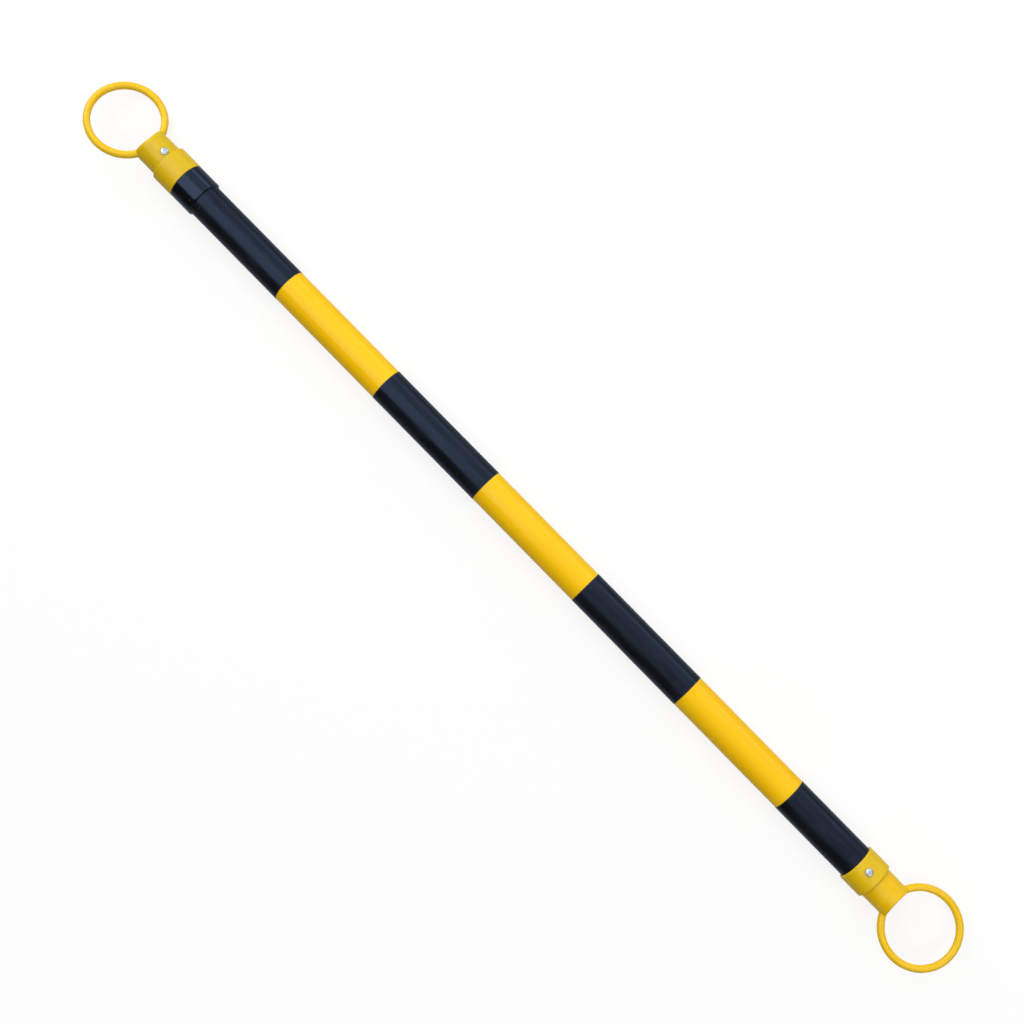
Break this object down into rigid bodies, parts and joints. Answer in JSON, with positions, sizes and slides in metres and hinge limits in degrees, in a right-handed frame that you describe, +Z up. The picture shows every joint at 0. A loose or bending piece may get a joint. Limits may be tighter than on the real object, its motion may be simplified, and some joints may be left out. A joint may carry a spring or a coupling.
{
  "type": "telescopic demarcation pole",
  "caption": "Striped telescopic barrier pole with a ring on each end that drops over a traffic cone; the inner tube slides out to lengthen it and turns about its axis.",
  "frame": {"origin": "on the floor below the middle of the closed pole, which lies on the collars of its two ring caps with the rim of the sliding ring touching the floor", "axes": "+X along the pole from the sliding ring to the fixed ring, +Z up from the floor"},
  "size_m": [1.25, 0.0856, 0.0439],
  "materials": {
    "yellow_tube": "extruded yellow plastic tube, glossy with fine handling scratches",
    "black_film": "black self-adhesive film, satin gloss",
    "yellow_moulding": "injection-moulded yellow plastic, semi-gloss with moulded edges",
    "black_moulding": "injection-moulded black plastic, glossy",
    "white_nylon": "natural white plastic, matt",
    "rivet_aluminium": "bright aluminium blind rivet",
    "mandrel_steel": "broken steel mandrel"
  },
  "bodies": {
    "outer_half": {"outer_tube": "yellow_tube", "outer_black_band_1": "black_film", "outer_black_band_2": "black_film", "outer_black_band_3": "black_film", "outer_black_band_4": "black_film", "mouth_collar": "black_moulding", "fixed_ring_cap": "yellow_moulding", "fixed_cap_rivet": "rivet_aluminium", "fixed_cap_rivet_mandrel": "mandrel_steel"},
    "friction_ring": {"friction_ring": "white_nylon"},
    "inner_half": {"inner_tube": "yellow_tube", "inner_black_band_1": "black_film", "inner_black_band_2": "black_film", "inner_black_band_3": "black_film", "stop_bush": "black_moulding", "tail_plug": "black_moulding", "sliding_ring_cap": "yellow_moulding", "sliding_cap_rivet": "rivet_aluminium", "sliding_cap_rivet_mandrel": "mandrel_steel"}
  },
  "joints": [
    {"name": "tube_slide", "type": "slide", "parent": "outer_half", "child": "friction_ring", "axis": [-1, 0, 0], "range_m": [0, 0.85]},
    {"name": "inner_turn", "type": "hinge", "parent": "friction_ring", "child": "inner_half", "pos_m": [0.4473, 0, 0.0214], "axis": [1, 0, 0], "continuous": true}
  ]
}
